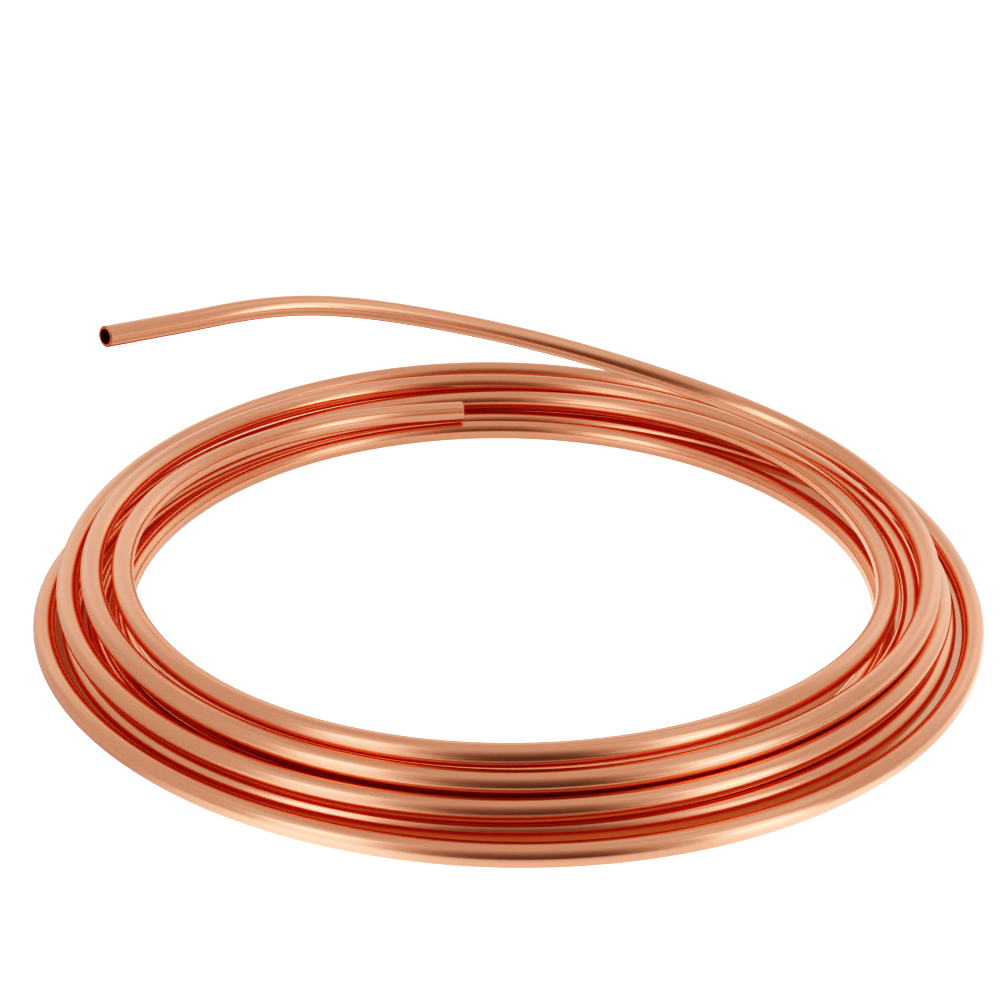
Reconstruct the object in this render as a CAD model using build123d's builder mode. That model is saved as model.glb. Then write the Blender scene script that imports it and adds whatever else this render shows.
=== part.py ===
"""Copper tube coil: one length of soft annealed copper tube, wound by hand into seven loose turns.

The coil lies flat, with its lowest turns on the floor. The origin is the middle of the coil's eye
at floor level, +Z is up, and +Y points to the back of the coil, where the inner free end lies.
"""
import os
from math import cos, radians, sin, sqrt

from build123d import *

# The tube, in millimetres.
OUTSIDE_DIAMETER = 4.76
WALL = 0.71
RIM_CHAMFER = 0.15

# The clear circle inside the turns, in millimetres.
EYE_RADIUS = 80.0

# The turns are wound by hand, so each one has its own way round. A row is one turn, from the turn
# of the inner free end to the last, and its places are, in the direction of winding: back,
# back left, left, front left, front, front right, right and back right. The last turn leaves the
# coil before it comes to its back right.
PLACES_PER_TURN = 8
FIRST_BEARING = 90.0

# How far outside the eye the tube's middle line is led at each place, in tube diameters.
OUTWARD = [
    [1.60, 1.50, 0.38, 0.80, 2.20, 1.05, 0.00, 0.85],
    [3.90, 3.40, 2.92, 3.03, 2.78, 3.42, 2.75, 3.95],
    [4.55, 4.15, 4.40, 3.92, 4.75, 4.84, 4.00, 4.50],
    [5.85, 4.83, 3.00, 2.80, 3.32, 2.85, 2.80, 2.15],
    [3.35, 2.48, 1.86, 1.64, 1.40, 0.70, 0.15, 0.65],
    [2.10, 1.55, 0.48, 1.20, 2.10, 1.75, 1.35, 1.95],
    [5.12, 3.50, 1.80, 1.89, 2.65, 2.38, 2.20],
]
# How high above the floor it is led, in tube diameters. At a half the tube lies on the floor.
UPWARD = [
    [1.56, 2.20, 2.95, 2.88, 3.28, 2.98, 1.85, 2.35],
    [1.36, 1.36, 0.50, 0.50, 0.50, 0.50, 0.50, 0.50],
    [0.50, 0.50, 0.50, 0.50, 0.50, 0.50, 0.50, 1.40],
    [2.55, 2.20, 1.70, 1.55, 1.58, 1.49, 1.80, 0.50],
    [0.50, 0.50, 0.50, 0.50, 0.50, 0.50, 0.50, 0.50],
    [0.50, 0.50, 0.50, 1.74, 1.42, 1.38, 1.55, 2.15],
    [1.95, 2.45, 2.72, 2.45, 2.34, 2.45, 2.60],
]
# The free stretch then springs up over the back of the coil and ends in the air at the left. Each
# of its places is a bearing in degrees, and outward and upward as above.
FREE_STRETCH = [
    (30.0, 2.00, 3.25),
    (56.5, -0.65, 5.00),
    (82.5, -2.90, 7.25),
    (108.0, -3.30, 8.95),
    (132.0, -1.90, 10.45),
    (151.0, -0.30, 10.75),
    (157.5, 0.50, 11.00),
]
# Both cut ends are straight for a short length, in millimetres, as the mill left them.
INNER_STRAIGHT = 10.0
OUTER_STRAIGHT = 16.0

# The bends begin this many places after the first one, and the tube's middle line is made of
# about this many pairs of tangent arcs from one place to the next.
BENDS_BEGIN = 0.31
PAIRS_PER_PLACE = 2


def led_places():
    """Every place of the route in order, as winding angle, outward and upward."""
    outward = [value for turn in OUTWARD for value in turn]
    upward = [value for turn in UPWARD for value in turn]
    bearings = [FIRST_BEARING + 360 * place / PLACES_PER_TURN for place in range(len(outward))]
    turns_before = 360 * len(OUTWARD)
    free = [(turns_before + bearing, out, up) for bearing, out, up in FREE_STRETCH]
    return [Vector(*place) for place in [*zip(bearings, outward, upward), *free]]


def blended(places, at):
    """A uniform cubic B-spline led by the places, at a number of places from the first one."""
    led = [2 * places[0] - places[1], *places, 2 * places[-1] - places[-2]]
    near = min(int(at), len(places) - 2)
    part = at - near
    return (
        (1 - part) ** 3 * led[near]
        + (3 * part**3 - 6 * part**2 + 4) * led[near + 1]
        + (-3 * part**3 + 3 * part**2 + 3 * part + 1) * led[near + 2]
        + part**3 * led[near + 3]
    ) / 6


def middle_point(at):
    """The point of the tube's middle line at a number of places from the first one."""
    winding, outward, upward = blended(PLACES, at)
    radius = EYE_RADIUS + outward * OUTSIDE_DIAMETER
    height = upward * OUTSIDE_DIAMETER
    return Vector(radius * cos(radians(winding)), radius * sin(radians(winding)), height)


def direction(at):
    """The direction of the tube's middle line at a number of places from the first one."""
    nearby = 0.001
    return (middle_point(at + nearby) - middle_point(at - nearby)).normalized()


def meeting_point(start, leaving, end, arriving):
    """Where two tangent arcs meet that leave the start and arrive at the end in these directions."""
    chord = end - start
    along = chord.dot(leaving + arriving)
    bend = 2 * (1 - leaving.dot(arriving))
    reach = (sqrt(along**2 + bend * chord.dot(chord)) - along) / bend
    return (start + end + reach * (leaving - arriving)) / 2


PLACES = led_places()
bends_end = len(PLACES) - 1
pair_count = round((bends_end - BENDS_BEGIN) * PAIRS_PER_PLACE)
pair_span = (bends_end - BENDS_BEGIN) / pair_count
stops = [BENDS_BEGIN + pair * pair_span for pair in range(pair_count + 1)]

with BuildPart() as copper_tube:
    with BuildLine() as middle_line:
        first_bend = middle_point(BENDS_BEGIN)
        Line(first_bend - INNER_STRAIGHT * direction(BENDS_BEGIN), first_bend)
        for at, next_at in zip(stops, stops[1:]):
            start, end = middle_point(at), middle_point(next_at)
            middle = meeting_point(start, direction(at), end, direction(next_at))
            first_arc = TangentArc(start, middle, tangent=direction(at))
            second_arc = TangentArc(middle, end, tangent=first_arc % 1)
        Line(second_arc @ 1, second_arc @ 1 + OUTER_STRAIGHT * (second_arc % 1))
    tube_path = middle_line.wire()
    with BuildSketch(Plane(tube_path @ 0, z_dir=tube_path % 0)) as tube_section:
        Circle(OUTSIDE_DIAMETER / 2)
        Circle(OUTSIDE_DIAMETER / 2 - WALL, mode=Mode.SUBTRACT)
    sweep(path=tube_path)
    cut_ends = copper_tube.faces().filter_by(GeomType.PLANE)
    chamfer([cut_end.outer_wire().edge() for cut_end in cut_ends], RIM_CHAMFER)

copper_tube.part.label = "copper_tube"
radii = [edge.radius for edge in tube_path.edges().filter_by(GeomType.CIRCLE)]
print(f"tube length {tube_path.length:.0f} mm, bends from {min(radii):.0f} to {max(radii):.0f} mm")
print("volume over section times length",
      round(copper_tube.part.volume / (tube_section.sketch.area * tube_path.length), 5))

os.makedirs("parts", exist_ok=True)
export_step(copper_tube.part, "parts/copper_tube.step")
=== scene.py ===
# %% [markdown]
# # A copper tube coil
#
# This lesson dresses one real thing: a length of soft copper tube, wound by hand into seven loose
# turns, lying on a white studio floor. The solid model of it is loaded first, as a frame that
# nothing here may move. Over it goes a finer tube, then the copper, and last the studio. A polished
# metal has almost no colour of its own: it shows what stands around it. So half of the work in this
# lesson is the copper and the other half is what the copper sees.

# %% Load the frame
from math import atan2, ceil, cos, pi, radians, sin

import bpy
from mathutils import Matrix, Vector


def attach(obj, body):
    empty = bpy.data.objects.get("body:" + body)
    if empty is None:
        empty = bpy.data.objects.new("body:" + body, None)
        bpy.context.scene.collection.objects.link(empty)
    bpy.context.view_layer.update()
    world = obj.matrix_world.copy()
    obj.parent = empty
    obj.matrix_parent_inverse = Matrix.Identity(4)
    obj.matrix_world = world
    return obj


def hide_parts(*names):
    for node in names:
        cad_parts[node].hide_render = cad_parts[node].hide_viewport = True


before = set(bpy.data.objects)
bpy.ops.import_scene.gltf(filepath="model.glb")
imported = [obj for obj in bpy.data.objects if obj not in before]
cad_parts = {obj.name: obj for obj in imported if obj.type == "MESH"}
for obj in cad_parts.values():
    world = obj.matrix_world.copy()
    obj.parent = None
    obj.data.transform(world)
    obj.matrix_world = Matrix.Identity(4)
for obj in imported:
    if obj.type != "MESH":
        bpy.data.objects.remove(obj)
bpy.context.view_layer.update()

# %% [markdown]
# ## The sizes
#
# Everything is counted from the tube: its diameter and its wall, as such tube is sold. The coil's eye
# is the one other length that the rest hangs on. They are the solid model's own sizes, so both agree.

# %% Sizes of the tube, in metres
MM = 0.001
OUTSIDE = 4.76 * MM
WALL = 0.71 * MM
BORE_RADIUS = OUTSIDE / 2 - WALL
RIM_CHAMFER = 0.15 * MM
EYE_RADIUS = 80 * MM
print(f"tube {OUTSIDE / MM:.2f} mm outside, {2 * BORE_RADIUS / MM:.2f} mm inside")

# %% [markdown]
# ## The camera
#
# The photographer stood a little above the coil and used a long lens, because the far turns are
# hardly smaller than the near ones. The camera looks at the middle of the coil, and a small lens
# shift puts the coil in the lower part of the square picture, as a studio camera does, instead of
# tilting the camera down.

# %% Place the camera
PICTURE = 1000
FOCAL_PIXELS = 2333
AXIS_PIXEL = (508, 592)
SENSOR_MM = 36
CAMERA_ELEVATION = radians(27.75)
CAMERA_DISTANCE = 107.5 * OUTSIDE

camera_data = bpy.data.cameras.new("camera")
camera_data.sensor_width = SENSOR_MM
camera_data.lens = SENSOR_MM * FOCAL_PIXELS / PICTURE
camera_data.shift_x = (PICTURE / 2 - AXIS_PIXEL[0]) / PICTURE
camera_data.shift_y = (AXIS_PIXEL[1] - PICTURE / 2) / PICTURE
camera = bpy.data.objects.new("camera", camera_data)
bpy.context.scene.collection.objects.link(camera)
to_camera = Vector((0, -cos(CAMERA_ELEVATION), sin(CAMERA_ELEVATION)))
camera.location = Vector((0, 0, OUTSIDE / 2)) + CAMERA_DISTANCE * to_camera
camera.rotation_euler = to_camera.to_track_quat("Z", "Y").to_euler()
bpy.context.scene.camera = camera
print(f"camera {CAMERA_DISTANCE:.3f} m away, {camera_data.lens:.0f} mm lens")

# %% [markdown]
# ## The route of the tube
#
# The turns were laid by hand, so no formula gives them. Each turn has eight places, from the back
# of the coil round by the left, the front and the right, and each place says how far outside the
# eye the tube runs and how high above the floor. Both are in tube diameters, which makes them easy
# to judge: a turn one diameter further out lies beside its neighbour. These are the same
# places as in the solid model, so the fine tube lies exactly where the solid one does.

# %% The places
PLACES_PER_TURN = 8
FIRST_BEARING = 90

OUTWARD = [
    [1.60, 1.50, 0.38, 0.80, 2.20, 1.05, 0.00, 0.85],
    [3.90, 3.40, 2.92, 3.03, 2.78, 3.42, 2.75, 3.95],
    [4.55, 4.15, 4.40, 3.92, 4.75, 4.84, 4.00, 4.50],
    [5.85, 4.83, 3.00, 2.80, 3.32, 2.85, 2.80, 2.15],
    [3.35, 2.48, 1.86, 1.64, 1.40, 0.70, 0.15, 0.65],
    [2.10, 1.55, 0.48, 1.20, 2.10, 1.75, 1.35, 1.95],
    [5.12, 3.50, 1.80, 1.89, 2.65, 2.38, 2.20],
]
UPWARD = [
    [1.56, 2.20, 2.95, 2.88, 3.28, 2.98, 1.85, 2.35],
    [1.36, 1.36, 0.50, 0.50, 0.50, 0.50, 0.50, 0.50],
    [0.50, 0.50, 0.50, 0.50, 0.50, 0.50, 0.50, 1.40],
    [2.55, 2.20, 1.70, 1.55, 1.58, 1.49, 1.80, 0.50],
    [0.50, 0.50, 0.50, 0.50, 0.50, 0.50, 0.50, 0.50],
    [0.50, 0.50, 0.50, 1.74, 1.42, 1.38, 1.55, 2.15],
    [1.95, 2.45, 2.72, 2.45, 2.34, 2.45, 2.60],
]
FREE_STRETCH = [
    (30.0, 2.00, 3.25),
    (56.5, -0.65, 5.00),
    (82.5, -2.90, 7.25),
    (108.0, -3.30, 8.95),
    (132.0, -1.90, 10.45),
    (151.0, -0.30, 10.75),
    (157.5, 0.50, 11.00),
]
INNER_STRAIGHT = 10 * MM
OUTER_STRAIGHT = 16 * MM
BENDS_BEGIN = 0.31


def led_places():
    """Every place in order, as winding angle, outward and upward."""
    outward = [value for turn in OUTWARD for value in turn]
    upward = [value for turn in UPWARD for value in turn]
    bearings = [FIRST_BEARING + 360 * place / PLACES_PER_TURN for place in range(len(outward))]
    free = [(360 * len(OUTWARD) + bearing, out, up) for bearing, out, up in FREE_STRETCH]
    return [Vector(place) for place in [*zip(bearings, outward, upward), *free]]


places = led_places()
print(len(places), "places in", len(OUTWARD), "turns and a free stretch")

# %% [markdown]
# A uniform cubic B-spline turns the places into a smooth line. Its two neighbours on each side pull
# at every point, so it has no kinks, and its bends change slowly, as in a tube that was bent over a
# knee and not over an edge. It is only four weights, so it is written out here instead of being left
# to a curve object: the tube's own mesh needs the line's direction at every ring.

# %% The middle line
ENDS_NEAR = 0.001


def blended(at):
    """The blended place at a number of places from the first one."""
    led = [2 * places[0] - places[1], *places, 2 * places[-1] - places[-2]]
    near = min(int(at), len(places) - 2)
    part = at - near
    return (
        (1 - part) ** 3 * led[near]
        + (3 * part**3 - 6 * part**2 + 4) * led[near + 1]
        + (-3 * part**3 + 3 * part**2 + 3 * part + 1) * led[near + 2]
        + part**3 * led[near + 3]
    ) / 6


def middle_point(at):
    """The point of the middle line there, in metres."""
    winding, outward, upward = blended(at)
    radius = EYE_RADIUS + outward * OUTSIDE
    return Vector((radius * cos(radians(winding)), radius * sin(radians(winding)), upward * OUTSIDE))


def direction(at):
    """The direction of the middle line there."""
    return (middle_point(at + ENDS_NEAR) - middle_point(at - ENDS_NEAR)).normalized()


# %% Rings along it
RING_STEP = 3.1 * MM
FINE_STEPS = 40


def ring_points():
    """Points a ring step apart along the tube, with both straight ends."""
    last = len(places) - 1
    count = int((last - BENDS_BEGIN) * FINE_STEPS)
    fine = [middle_point(BENDS_BEGIN + (last - BENDS_BEGIN) * step / count) for step in range(count + 1)]
    inner_tip = fine[0] - INNER_STRAIGHT * direction(BENDS_BEGIN)
    outer_tip = fine[-1] + OUTER_STRAIGHT * direction(last - ENDS_NEAR)
    fine = [inner_tip, *fine, outer_tip]
    travelled = [0.0]
    for here, there in zip(fine, fine[1:]):
        travelled.append(travelled[-1] + (there - here).length)
    steps = ceil(travelled[-1] / RING_STEP)
    rings, span = [], 0
    for step in range(steps + 1):
        along = travelled[-1] * step / steps
        while span < len(fine) - 2 and travelled[span + 1] < along:
            span += 1
        share = (along - travelled[span]) / (travelled[span + 1] - travelled[span])
        rings.append((along, fine[span].lerp(fine[span + 1], share)))
    return rings


rings = ring_points()
print(f"{len(rings)} rings, tube length {rings[-1][0]:.3f} m")

# %% [markdown]
# ## The tube
#
# Each ring is a circle square to the middle line. The tube never stands upright, so "sideways" is
# always level, and no ring twists against the next. The wall goes out along the tube, over the
# chamfered rim, across the cut face and back through the bore, so the mesh is one closed skin with
# a real wall, and the open end can be looked into.
#
# Every corner also keeps the place that it had while the tube was still straight. Drawing a tube
# through its die scores it lengthwise, before it is ever bent, so the finish is worked out in that
# straight tube and then follows each bend by itself.

# %% Square up the rings
SIDES = 48
BORE_FINE_RINGS = 10
BORE_SKIP = 4


def ring_frames():
    """Each ring's distance along the tube, middle, forward, sideways and upright directions."""
    frames = []
    for number, (along, middle) in enumerate(rings):
        before = rings[max(number - 1, 0)][1]
        after = rings[min(number + 1, len(rings) - 1)][1]
        forward = (after - before).normalized()
        sideways = forward.cross(Vector((0, 0, 1))).normalized()
        frames.append((along, middle, forward, sideways, sideways.cross(forward)))
    return frames


def skin_loops(last):
    """The loops of the skin in order, as ring number, radius and distance back along the tube."""
    radius, bore = OUTSIDE / 2, BORE_RADIUS
    outside = [(number, radius, 0) for number in range(1, last)]
    fine_end, fine_start = last - BORE_FINE_RINGS, BORE_FINE_RINGS
    inside = [number for number in range(last - 1, 0, -1)
              if number > fine_end or number < fine_start or number % BORE_SKIP == 0]
    return [
        (0, radius - RIM_CHAMFER, 0), (0, radius, -RIM_CHAMFER), *outside,
        (last, radius, RIM_CHAMFER), (last, radius - RIM_CHAMFER, 0),
        (last, bore, 0), *[(number, bore, 0) for number in inside], (0, bore, 0),
    ]


loops = skin_loops(len(rings) - 1)
print(len(loops), "loops of", SIDES, "corners")

# %% Make the mesh
SHARP_ANGLE = radians(30)
SKIN, CUT, BORE = range(3)


def tube_mesh():
    """The whole skin as one mesh, with the straight tube's place kept at every corner."""
    frames = ring_frames()
    corners, straight, faces, finishes = [], [], [], []
    for number, radius, back in loops:
        along, middle, forward, sideways, upright = frames[number]
        for side in range(SIDES):
            turn = 2 * pi * side / SIDES
            out = cos(turn) * sideways + sin(turn) * upright
            corners.append(middle + radius * out - back * forward)
            straight.extend((radius * cos(turn), radius * sin(turn), along - back))
    for loop, (number, radius, back) in enumerate(loops):
        following = (loop + 1) % len(loops)
        for side in range(SIDES):
            beside = (side + 1) % SIDES
            faces.append((loop * SIDES + side, loop * SIDES + beside,
                          following * SIDES + beside, following * SIDES + side))
            is_bore = radius == loops[following][1] == BORE_RADIUS
            finishes.append(CUT if number == loops[following][0] else BORE if is_bore else SKIN)
    mesh = bpy.data.meshes.new("copper_tube_skin")
    mesh.from_pydata(corners, [], faces)
    mesh.attributes.new("straight", "FLOAT_VECTOR", "POINT").data.foreach_set("vector", straight)
    mesh.polygons.foreach_set("material_index", finishes)
    mesh.polygons.foreach_set("use_smooth", [True] * len(faces))
    mesh.set_sharp_from_angle(angle=SHARP_ANGLE)
    mesh.validate()
    return mesh


tube = bpy.data.objects.new("tube", tube_mesh())
bpy.context.scene.collection.objects.link(tube)
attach(tube, "root")
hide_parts("copper_tube")
print(len(tube.data.polygons) * 2, "triangles")

# %% [markdown]
# ## Shader sums written as sums
#
# A node tree is a formula drawn with boxes. This small class lets the formula be written instead: it
# wraps one socket, and adding or multiplying two of them adds the Math node that does it. Any other
# node comes from `node`, which sets its options first and then its sockets, because an option such
# as a Mix node's data type decides which sockets there are.

# %% The wrapper


class Wire:
    """One socket of a node tree, used as a value in a sum."""

    def __init__(self, tree, socket=None):
        self.tree = tree
        self.socket = socket

    def node(self, kind, settings=None, sockets=None, out=0):
        """Adds any node. A ramp's stops are given as (place, colour) pairs in its settings."""
        made = self.tree.nodes.new(kind)
        for name, value in (settings or {}).items():
            if name == "stops":
                self.set_stops(made.color_ramp, value)
            else:
                setattr(made, name, value)
        for name, value in (sockets or {}).items():
            if isinstance(value, Wire):
                self.tree.links.new(value.socket, made.inputs[name])
            else:
                made.inputs[name].default_value = value
        return Wire(self.tree, made.outputs[out]) if made.outputs else Wire(self.tree)

    @staticmethod
    def set_stops(ramp, stops):
        """Gives a colour ramp its stops."""
        while len(ramp.elements) < len(stops):
            ramp.elements.new(1)
        for element, (place, colour) in zip(ramp.elements, stops):
            element.position = place
            element.color = (*colour, 1)

    def math(self, operation, first, second=0.0):
        """One Math node."""
        return self.node("ShaderNodeMath", {"operation": operation}, {0: first, 1: second})

    def __add__(self, other):
        return self.math("ADD", self, other)

    def __radd__(self, other):
        return self.math("ADD", other, self)

    def __sub__(self, other):
        return self.math("SUBTRACT", self, other)

    def __rsub__(self, other):
        return self.math("SUBTRACT", other, self)

    def __mul__(self, other):
        return self.math("MULTIPLY", self, other)

    def __rmul__(self, other):
        return self.math("MULTIPLY", other, self)

    def rising(self, low, high):
        """0 below low, 1 above high and smooth between them."""
        return self.node("ShaderNodeMapRange", {"interpolation_type": "SMOOTHSTEP"},
                         {"Value": self, "From Min": low, "From Max": high})

    def falling(self, low, high):
        """1 below low, 0 above high and smooth between them."""
        return 1 - self.rising(low, high)

    def between(self, low, high, soft):
        """1 from low to high, fading to 0 over a soft edge outside each."""
        return self.rising(low - soft, low) * self.falling(high, high + soft)

    def axes(self):
        """The three parts of a vector."""
        return [self.node("ShaderNodeSeparateXYZ", {}, {0: self}, out=axis) for axis in range(3)]

    def length(self):
        """The length of a vector."""
        return self.node("ShaderNodeVectorMath", {"operation": "LENGTH"}, {0: self}, out="Value")

    def to_surface(self):
        """Makes a shader the material's surface."""
        self.node("ShaderNodeOutputMaterial", {}, {"Surface": self})


def blend(mask, low, high):
    """A colour that goes from low to high as the mask goes from 0 to 1."""
    return mask.node("ShaderNodeMix", {"data_type": "RGBA"}, {0: mask, 6: low, 7: high}, out=2)


def new_material(name):
    """An empty node material, as a wire with no socket yet."""
    material = bpy.data.materials.new(name)
    material.use_nodes = True
    material.node_tree.nodes.clear()
    return material, Wire(material.node_tree)


print("the wrapper is ready")

# %% [markdown]
# ## Copper
#
# Bare copper is a metal, so its base colour is the colour of its mirror image and everything else is
# roughness. Drawn tube is bright but no mirror: fine lines from the die run along it, handling
# leaves duller patches. All of it is worked out in the straight tube, where "along" is one axis, so
# stretched noise gives lines that follow every bend.
#
# The two ends were cut and not drawn, so they are clean and a little rough. The bore was never polished
# and is duller still, which also keeps the open end dark.

# %% Copper colours
BRIGHT_COPPER = (0.955, 0.626, 0.497, 1)
DULL_COPPER = (0.925, 0.606, 0.485, 1)
DRAWN_ROUGHNESS = 0.20
PATCH_ROUGHNESS = 0.05
LINE_ROUGHNESS = 0.05


def straight_noise(start, around, along, detail, seed):
    """Noise in the straight tube, with its grains per metre around and along it."""
    place = start.node("ShaderNodeAttribute", {"attribute_name": "straight"}, out="Vector")
    scaled = start.node("ShaderNodeVectorMath", {"operation": "MULTIPLY"},
                        {0: place, 1: (around, around, along)})
    moved = start.node("ShaderNodeVectorMath", {"operation": "ADD"}, {0: scaled, 1: (seed, seed, seed)})
    return start.node("ShaderNodeTexNoise", {}, {"Vector": moved, "Scale": 1.0, "Detail": detail}, out="Fac")


def make_copper():
    """Bright drawn copper."""
    material, start = new_material("drawn_copper")
    patches = straight_noise(start, around=260, along=24, detail=3, seed=3.0).rising(0.42, 0.68)
    lines = straight_noise(start, around=5200, along=9, detail=2, seed=11.0)
    colour = blend(patches, BRIGHT_COPPER, DULL_COPPER)
    deep_lines = lines.rising(0.5, 0.8)
    roughness = DRAWN_ROUGHNESS + patches * PATCH_ROUGHNESS + deep_lines * LINE_ROUGHNESS
    bump = start.node("ShaderNodeBump", {}, {"Strength": 0.16, "Distance": 0.02 * MM, "Height": lines})
    surface = start.node("ShaderNodeBsdfPrincipled", {}, {
        "Base Color": colour, "Metallic": 1.0, "Roughness": roughness, "Normal": bump})
    surface.to_surface()
    return material


# %% The cut ends and the bore
CUT_BRIGHT = (0.95, 0.56, 0.44, 1)
CUT_DULL = (0.86, 0.47, 0.36, 1)
BORE_BRIGHT = (0.93, 0.56, 0.43, 1)
BORE_DULL = (0.84, 0.46, 0.34, 1)


def make_cut_copper():
    """The face that the cutter left: clean metal, a little rough."""
    material, start = new_material("cut_copper")
    grain = straight_noise(start, around=9000, along=9000, detail=2, seed=5.0)
    colour = blend(grain.rising(0.3, 0.7), CUT_BRIGHT, CUT_DULL)
    bump = start.node("ShaderNodeBump", {}, {"Strength": 0.3, "Distance": 0.03 * MM, "Height": grain})
    surface = start.node("ShaderNodeBsdfPrincipled", {}, {
        "Base Color": colour, "Metallic": 1.0, "Roughness": 0.32, "Normal": bump})
    surface.to_surface()
    return material


def make_bore_copper():
    """The wall of the bore: dull, since no tool ever polished it."""
    material, start = new_material("bore_copper")
    lines = straight_noise(start, around=4000, along=30, detail=2, seed=7.0)
    colour = blend(lines, BORE_BRIGHT, BORE_DULL)
    surface = start.node("ShaderNodeBsdfPrincipled", {}, {
        "Base Color": colour, "Metallic": 1.0, "Roughness": 0.6})
    surface.to_surface()
    return material


tube.data.materials.append(make_copper())
tube.data.materials.append(make_cut_copper())
tube.data.materials.append(make_bore_copper())
print([material.name for material in tube.data.materials])

# %% [markdown]
# ## The floor
#
# The coil lies on a lit table: glossy white paper that glows a little and mirrors the soft boxes at a
# low angle. Under the turns no white light arrives that copper hasn't mirrored first, so the light
# that copper throws there is painted on the paper as a glow in copper's own colour, and that painted
# light is what makes the gaps between the turns red and not grey.
#
# A product photograph is then cut out and put on pure white. Here a second sheet does that: it gives
# off white, and only the camera sees it. Round the turns it carries painted light from copper, deep
# red in the gaps, and painted brown shade, because white would show through the gaps, and it fades
# back to white further out.
#
# Both sheets need the same two lines round the coil. One is where the turns lie on the floor. The
# other is the outline of the coil as the camera sees it: each ring is cast from the camera onto the
# floor, like a shadow. At every bearing the least and the greatest radius are the two edges.
#
# The second line is a shortcut with a price. It ties the floor's colours to where the camera stands, so
# they fit that one view, and seen from above or from behind they are too wide and too brown. A floor
# that is right from every side would be laid out from the turns alone.

# %% Lines round the coil
SHEET_RAYS = 120
PAPER_HALF = 4.0
ON_FLOOR = 0.8 * OUTSIDE
TURNS_HEIGHT = 3.7 * OUTSIDE


def cast_on_floor(point):
    """Where the camera's line through a point meets the floor."""
    line = point - camera.location
    return camera.location - line * (camera.location.z / line.z)


def edge_radii(spots):
    """The least and the greatest radius of the spots, at each ray of a sheet."""
    inner, outer = [PAPER_HALF] * SHEET_RAYS, [0.0] * SHEET_RAYS
    for spot in spots:
        radius = Vector((spot.x, spot.y)).length
        ray = round(atan2(spot.y, spot.x) / (2 * pi) * SHEET_RAYS) % SHEET_RAYS
        inner[ray] = min(inner[ray], radius)
        outer[ray] = max(outer[ray], radius)
    return inner, outer


on_floor = edge_radii([middle for along, middle in rings if middle.z < ON_FLOOR])
outline = edge_radii([cast_on_floor(middle) for along, middle in rings if middle.z < TURNS_HEIGHT])
print(f"outline from {1000 * min(outline[0]):.0f} mm to {1000 * max(outline[1]):.0f} mm")

# %% Ringed sheets
SHEET_LIFT = 0.02 * MM


def ringed_sheet(name, height, rings_of_radii, near_copper, outer_material, inner_material):
    """A level sheet in rings. near_copper says how close to the turns each ring of corners is."""
    edges = [*rings_of_radii, [PAPER_HALF] * SHEET_RAYS]
    corners = []
    for radii in edges:
        for ray, radius in enumerate(radii):
            turn = 2 * pi * ray / SHEET_RAYS
            corners.append((radius * cos(turn), radius * sin(turn), height))
    faces = [tuple(range(SHEET_RAYS))]
    for first in range(0, SHEET_RAYS * len(rings_of_radii), SHEET_RAYS):
        for ray in range(SHEET_RAYS):
            beside = (ray + 1) % SHEET_RAYS
            faces.append((first + ray, first + SHEET_RAYS + ray,
                          first + SHEET_RAYS + beside, first + beside))
    mesh = bpy.data.meshes.new(name)
    mesh.from_pydata(corners, [], faces)
    nearness = [near for near in (*near_copper, 0.0) for ray in range(SHEET_RAYS)]
    mesh.attributes.new("near_copper", "FLOAT", "POINT").data.foreach_set("value", nearness)
    mesh.materials.append(outer_material)
    mesh.materials.append(inner_material)
    last = 1 + SHEET_RAYS * (len(rings_of_radii) - 1)
    mesh.polygons.foreach_set("material_index", [int(0 < face < last) for face in range(len(faces))])
    sheet = bpy.data.objects.new(name, mesh)
    bpy.context.scene.collection.objects.link(sheet)
    return sheet


print("sheets in rings")

# %% [markdown]
# Round the coil the paper isn't evenly bright: for each soft box a pool of light is painted into its
# glow, to the left and the right of the front, and a wide one lies along the right side. Painted shade
# darkens it in front of the coil, and painted light brightens it inside the eye and at the foot of the
# outer turns.

# %% Lay the paper
TO_DEGREES = 180 / pi
PAPER_GREY = (0.22, 0.22, 0.22, 1)
PAPER_GLOW = 0.23
# Painted light: a glow that stands for the light copper throws on the paper under the turns.
PAINTED_COPPER_LIGHT = (0.36, 0.26, 0.20, 1)

# Bearings in degrees from the camera to the right: from, to and soft edge, then how much painted
# light, or for the dip in front how much painted shade.
LEFT_POOL, LEFT_POOL_LIGHT = (-36, -18, 14), 0.18
RIGHT_POOL, RIGHT_POOL_LIGHT = (30, 42, 12), 0.18
SIDE_POOL, SIDE_POOL_LIGHT = (72, 115, 18), 0.12
FRONT_DIP, FRONT_DIP_DARK = (-10, 14, 14), 0.18

# Radii: painted light makes the paper lighter inside the eye and at the foot of the outer turns.
EYE_ENDS, EYE_LIGHT = (90 * MM, 95 * MM), 0.07
EYE_RING, EYE_RING_LIGHT = (62 * MM, 90 * MM, 14 * MM), 0.12
FOOT_BEGINS, FOOT_ENDS, FOOT_LIGHT = (95 * MM, 99 * MM), (102 * MM, 138 * MM), 0.29
FOOT_RIGHT, FOOT_RIGHT_SHARE, FOOT_LEAST_SHARE = (-24, 80, 14), 0.7, 0.3


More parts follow.
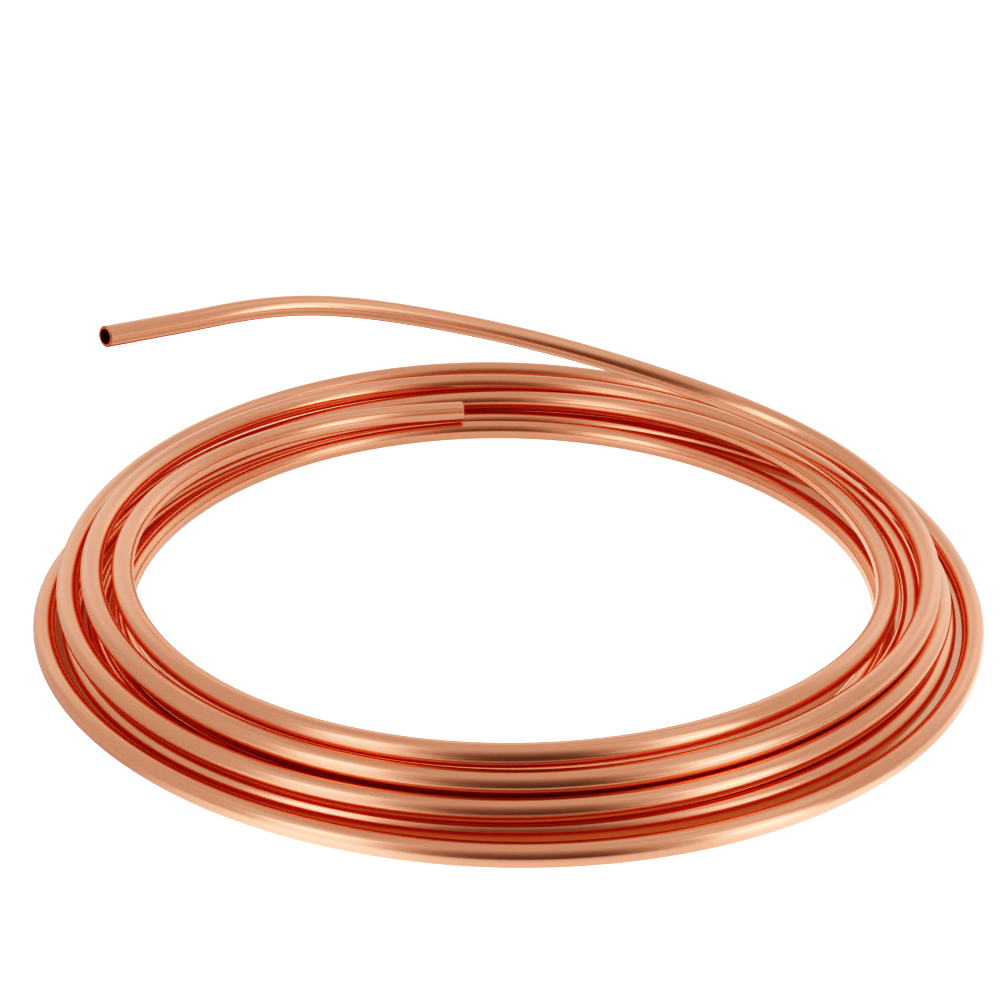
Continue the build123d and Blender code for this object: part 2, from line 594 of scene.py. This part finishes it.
def make_paper():
    """Glossy white paper on a lit table, whose glow holds painted pools of light and painted shade."""
    material, start = new_material("white_paper")
    place = start.node("ShaderNodeTexCoord", out="Object")
    across, deep, upward = place.axes()
    radius = place.length()
    bearing = start.math("ARCTAN2", across, -1 * deep) * TO_DEGREES
    # Painted light and shade in the paper's glow: the pools, the dip in front, the foot and the eye.
    painted_left_pool = bearing.between(*LEFT_POOL) * LEFT_POOL_LIGHT
    painted_right_pool = bearing.between(*RIGHT_POOL) * RIGHT_POOL_LIGHT
    painted_side_pool = bearing.between(*SIDE_POOL) * SIDE_POOL_LIGHT
    painted_front_shade = bearing.between(*FRONT_DIP) * radius.rising(*FOOT_ENDS) * FRONT_DIP_DARK
    foot = radius.rising(*FOOT_BEGINS) * radius.falling(*FOOT_ENDS) * FOOT_LIGHT
    eye = radius.falling(*EYE_ENDS) * EYE_LIGHT + radius.between(*EYE_RING) * EYE_RING_LIGHT
    painted_light_round_coil = eye + foot * (FOOT_LEAST_SHARE + bearing.between(*FOOT_RIGHT) * FOOT_RIGHT_SHARE)
    glow = PAPER_GLOW + painted_light_round_coil + painted_left_pool + painted_right_pool + painted_side_pool - painted_front_shade
    surface = start.node("ShaderNodeBsdfPrincipled", {}, {
        "Base Color": PAPER_GREY, "Roughness": 0.28, "IOR": 2.2,
        "Emission Color": glow, "Emission Strength": 1.0})
    surface.to_surface()
    return material


def make_paper_with_painted_copper_light():
    """The same paper under the turns, glowing with painted light in copper's colour."""
    material, start = new_material("paper_painted_copper_light")
    surface = start.node("ShaderNodeBsdfPrincipled", {}, {
        "Base Color": PAPER_GREY, "Roughness": 1.0, "Specular IOR Level": 0.0,
        "Emission Color": PAINTED_COPPER_LIGHT, "Emission Strength": 1.0})
    surface.to_surface()
    return material


white_paper = make_paper()
under_inner = [min(radii) for radii in zip(on_floor[0], outline[0])]
under_outer = [max(radii) for radii in zip(on_floor[1], outline[1])]
ringed_sheet("paper", 0, [under_inner, under_outer], (1, 1), white_paper, make_paper_with_painted_copper_light())
print("paper", 2 * PAPER_HALF, "m across")

# %% Lay the white sheet
SHEET_GLOW = 1.3
# Painted light from copper in the gaps: deep red where a gap is narrow, paler where it is wide and towards
# the back.
GAP_NARROW = (0.36, 0.175, 0.125, 1)
GAP_WIDE = (0.53, 0.37, 0.31, 1)
WIDE_ACROSS = (66 * MM, 84 * MM)
WIDE_DEEP = (30 * MM, 55 * MM)
BACK_DEEP, BACK_SHARE = (10 * MM, 40 * MM), 0.6

# How the painted shade fades, inside the coil and outside it: nearness to the turns, then the colour there.
SIDES_PART = (86 * MM, 92 * MM)
INSIDE_TO_GAP = (0.5, 0.9)
OUTSIDE_TO_GAP = (0.7, 1.0)
PAINTED_SHADE_INSIDE = [
    (0.00, (SHEET_GLOW, SHEET_GLOW, SHEET_GLOW)),
    (0.12, (0.62, 0.46, 0.39)),
    (0.30, (0.47, 0.29, 0.22)),
    (0.60, (0.42, 0.24, 0.18)),
]
PAINTED_SHADE_OUTSIDE = [
    (0.00, (SHEET_GLOW, SHEET_GLOW, SHEET_GLOW)),
    (0.10, (0.78, 0.67, 0.61)),
    (0.30, (0.66, 0.53, 0.46)),
    (0.60, (0.57, 0.43, 0.36)),
    (0.85, (0.50, 0.34, 0.27)),
]


def only_for_camera(thing):
    """Hides a thing from every ray but the camera's own."""
    thing.visible_diffuse = False
    thing.visible_glossy = False
    thing.visible_transmission = False
    thing.visible_shadow = False
    print("only the camera sees", thing.name)


def make_glow():
    """Plain white light."""
    material, start = new_material("sheet_white")
    glow = start.node("ShaderNodeEmission", {}, {"Color": (1, 1, 1, 1), "Strength": SHEET_GLOW})
    glow.to_surface()
    return material


def make_painted_gap_light():
    """Painted light and shade that only the camera sees: deep red in the gaps, paler where one is wide, and
    brown painted shade that fades to white round the coil.
    """
    material, start = new_material("painted_gap_light_and_shade")
    place = start.node("ShaderNodeTexCoord", out="Object")
    across, deep, upward = place.axes()
    wide = across.rising(*WIDE_ACROSS) * deep.falling(*WIDE_DEEP)
    back = deep.rising(*BACK_DEEP) * BACK_SHARE
    painted_copper_red = blend(start.math("MAXIMUM", wide, back), GAP_NARROW, GAP_WIDE)
    near = start.node("ShaderNodeAttribute", {"attribute_name": "near_copper"}, out="Fac")
    inside = near.node("ShaderNodeValToRGB", {"stops": PAINTED_SHADE_INSIDE}, {"Fac": near})
    outside = near.node("ShaderNodeValToRGB", {"stops": PAINTED_SHADE_OUTSIDE}, {"Fac": near})
    colour = blend(place.length().rising(*SIDES_PART),
                   blend(near.rising(*INSIDE_TO_GAP), inside, painted_copper_red),
                   blend(near.rising(*OUTSIDE_TO_GAP), outside, painted_copper_red))
    glow = start.node("ShaderNodeEmission", {}, {"Color": colour, "Strength": 1.0})
    glow.to_surface()
    return material


fade_inner, fade_outer = outline
full_inner = [max(radii) for radii in zip(on_floor[0], fade_inner)]
full_outer = [min(radii) for radii in zip(on_floor[1], fade_outer)]
fading = [fade_inner, full_inner, full_outer, fade_outer]
cut_out = ringed_sheet("white_sheet", SHEET_LIFT, fading, (0, 1, 1, 0), make_glow(), make_painted_gap_light())
only_for_camera(cut_out)

# %% [markdown]
# ## The studio
#
# What makes the tube look round is a tent that isn't evenly bright. Each front turn mirrors the room
# like a long thin picture of it: a dark stripe, where the tent is open for the camera, and a white
# streak on either side of it, one for each tall soft box. The back turns mirror the pale back wall.
# So the room is drawn on the world as light by direction. Two angles are enough: the bearing, counted
# from the camera to the right, and the height above the horizon.

# %% Light by direction
ROOM_LIGHT = 0.52

# In degrees. ACROSS is a span of bearings and a soft edge, and UP a slope or a span of heights.
OPENING_ACROSS, OPENING_UP, OPENING_DARK = (-10, 16, 20), (14, 80), 0.25
CORE_ACROSS, CORE_UP, CORE_DARK = (2, 16, 12), (2, 14), 0.04
LEFT_BOX_ACROSS, LEFT_BOX_UP, LEFT_BOX_LIGHT = (-53, -37, 10), (42, 62), 0.36
LEFT_BOX_LEANS, LEFT_BOX_LEAN = (20, 36), 6
LEFT_BOX_HIGH, LEFT_BOX_HIGH_LIGHT = (16, 34), 0.19
RIGHT_BOX_ACROSS, RIGHT_BOX_UP, RIGHT_BOX_LIGHT = (50, 63, 10), (36, 52), 0.72
RIGHT_BOX_DIMS, RIGHT_BOX_DIM = (4, 26), 0.45
BELT_ACROSS, BELT_AWAY, BELT_UP, BELT_LIGHT = (-90, 150, 30), (25, 70), (54, 64, 8), 0.09
BACK_WALL_AWAY, BACK_WALL_UP, BACK_WALL_LIGHT = (122, 142), (29, 42), 0.12
RIGHT_WALL_ACROSS, RIGHT_WALL_UP, RIGHT_WALL_LIGHT = (118, 146, 18), (28, 42), 0.07


def make_studio():
    """The tent, as the brightness of each direction."""
    world = bpy.data.worlds.new("studio")
    bpy.context.scene.world = world
    world.use_nodes = True
    world.node_tree.nodes.clear()
    start = Wire(world.node_tree)
    right, back, upward = start.node("ShaderNodeTexCoord", out="Generated").axes()
    height = start.math("ARCSINE", upward) * TO_DEGREES
    bearing = start.math("ARCTAN2", right, -1 * back) * TO_DEGREES
    away = start.math("ABSOLUTE", bearing)

    belt = bearing.between(*BELT_ACROSS) * away.rising(*BELT_AWAY) * height.between(*BELT_UP)
    back_wall = away.rising(*BACK_WALL_AWAY) * height.falling(*BACK_WALL_UP)
    right_wall = bearing.between(*RIGHT_WALL_ACROSS) * height.falling(*RIGHT_WALL_UP)
    opening = bearing.between(*OPENING_ACROSS) * height.falling(*OPENING_UP)
    core = bearing.between(*CORE_ACROSS) * height.falling(*CORE_UP)
    lean = bearing + height.rising(*LEFT_BOX_LEANS) * LEFT_BOX_LEAN
    left_light = LEFT_BOX_LIGHT + height.rising(*LEFT_BOX_HIGH) * LEFT_BOX_HIGH_LIGHT
    left_box = lean.between(*LEFT_BOX_ACROSS) * height.falling(*LEFT_BOX_UP) * left_light
    right_dim = 1 - height.rising(*RIGHT_BOX_DIMS) * RIGHT_BOX_DIM
    right_box = bearing.between(*RIGHT_BOX_ACROSS) * right_dim * height.falling(*RIGHT_BOX_UP)
    walls = belt * BELT_LIGHT + back_wall * BACK_WALL_LIGHT + right_wall * RIGHT_WALL_LIGHT
    boxes = left_box + right_box * RIGHT_BOX_LIGHT
    light = ROOM_LIGHT + walls - opening * OPENING_DARK - core * CORE_DARK + boxes
    studio = start.node("ShaderNodeBackground", {}, {"Color": light, "Strength": 1.0})
    backdrop = start.node("ShaderNodeBackground", {}, {"Color": (1, 1, 1, 1), "Strength": SHEET_GLOW})
    seen = start.node("ShaderNodeLightPath", out="Is Camera Ray")
    both = start.node("ShaderNodeMixShader", {}, {0: seen, 1: studio, 2: backdrop})
    start.node("ShaderNodeOutputWorld", {}, {"Surface": both})


make_studio()
print("studio ready")

# %% [markdown]
# Between two turns light goes from copper to copper many times before it comes out, redder each time.
# Blender stops after four mirror images, which would leave the gaps black, so it is told to go on.

# %% Mirror images of mirror images
tracing = bpy.context.scene.cycles
tracing.max_bounces = 24
tracing.glossy_bounces = 20
tracing.diffuse_bounces = 8
print("up to", tracing.glossy_bounces, "mirror images")

# %% [markdown]
# ## Develop the picture
#
# A tent gives soft, flat light, and a product photograph is developed with a steep curve to bring
# the metal to life. Because the curve works on red, green and blue one by one, it also does what
# copper in photographs always does: dark places turn deep red, bright ones go nearly white.

# %% The tone curve
TONES = [
    (0.00, 0.00), (0.06, 0.002), (0.10, 0.006), (0.136, 0.014), (0.167, 0.032), (0.202, 0.064),
    (0.247, 0.120), (0.300, 0.212), (0.365, 0.337), (0.443, 0.497), (0.490, 0.591), (0.554, 0.694),
    (0.619, 0.807), (0.740, 0.930), (0.821, 0.973), (1.00, 1.00),
]
ALL_COLOURS = 3


def develop(scene):
    """Plain view with the tone curve on all three colours."""
    view = scene.view_settings
    view.view_transform = "Standard"
    view.look = "None"
    view.use_curve_mapping = True
    curve = view.curve_mapping.curves[ALL_COLOURS]
    curve.points[0].location = TONES[0]
    curve.points[1].location = TONES[-1]
    for tone in TONES[1:-1]:
        curve.points.new(*tone)
    view.curve_mapping.update()


develop(bpy.context.scene)
print(len(TONES), "tones")
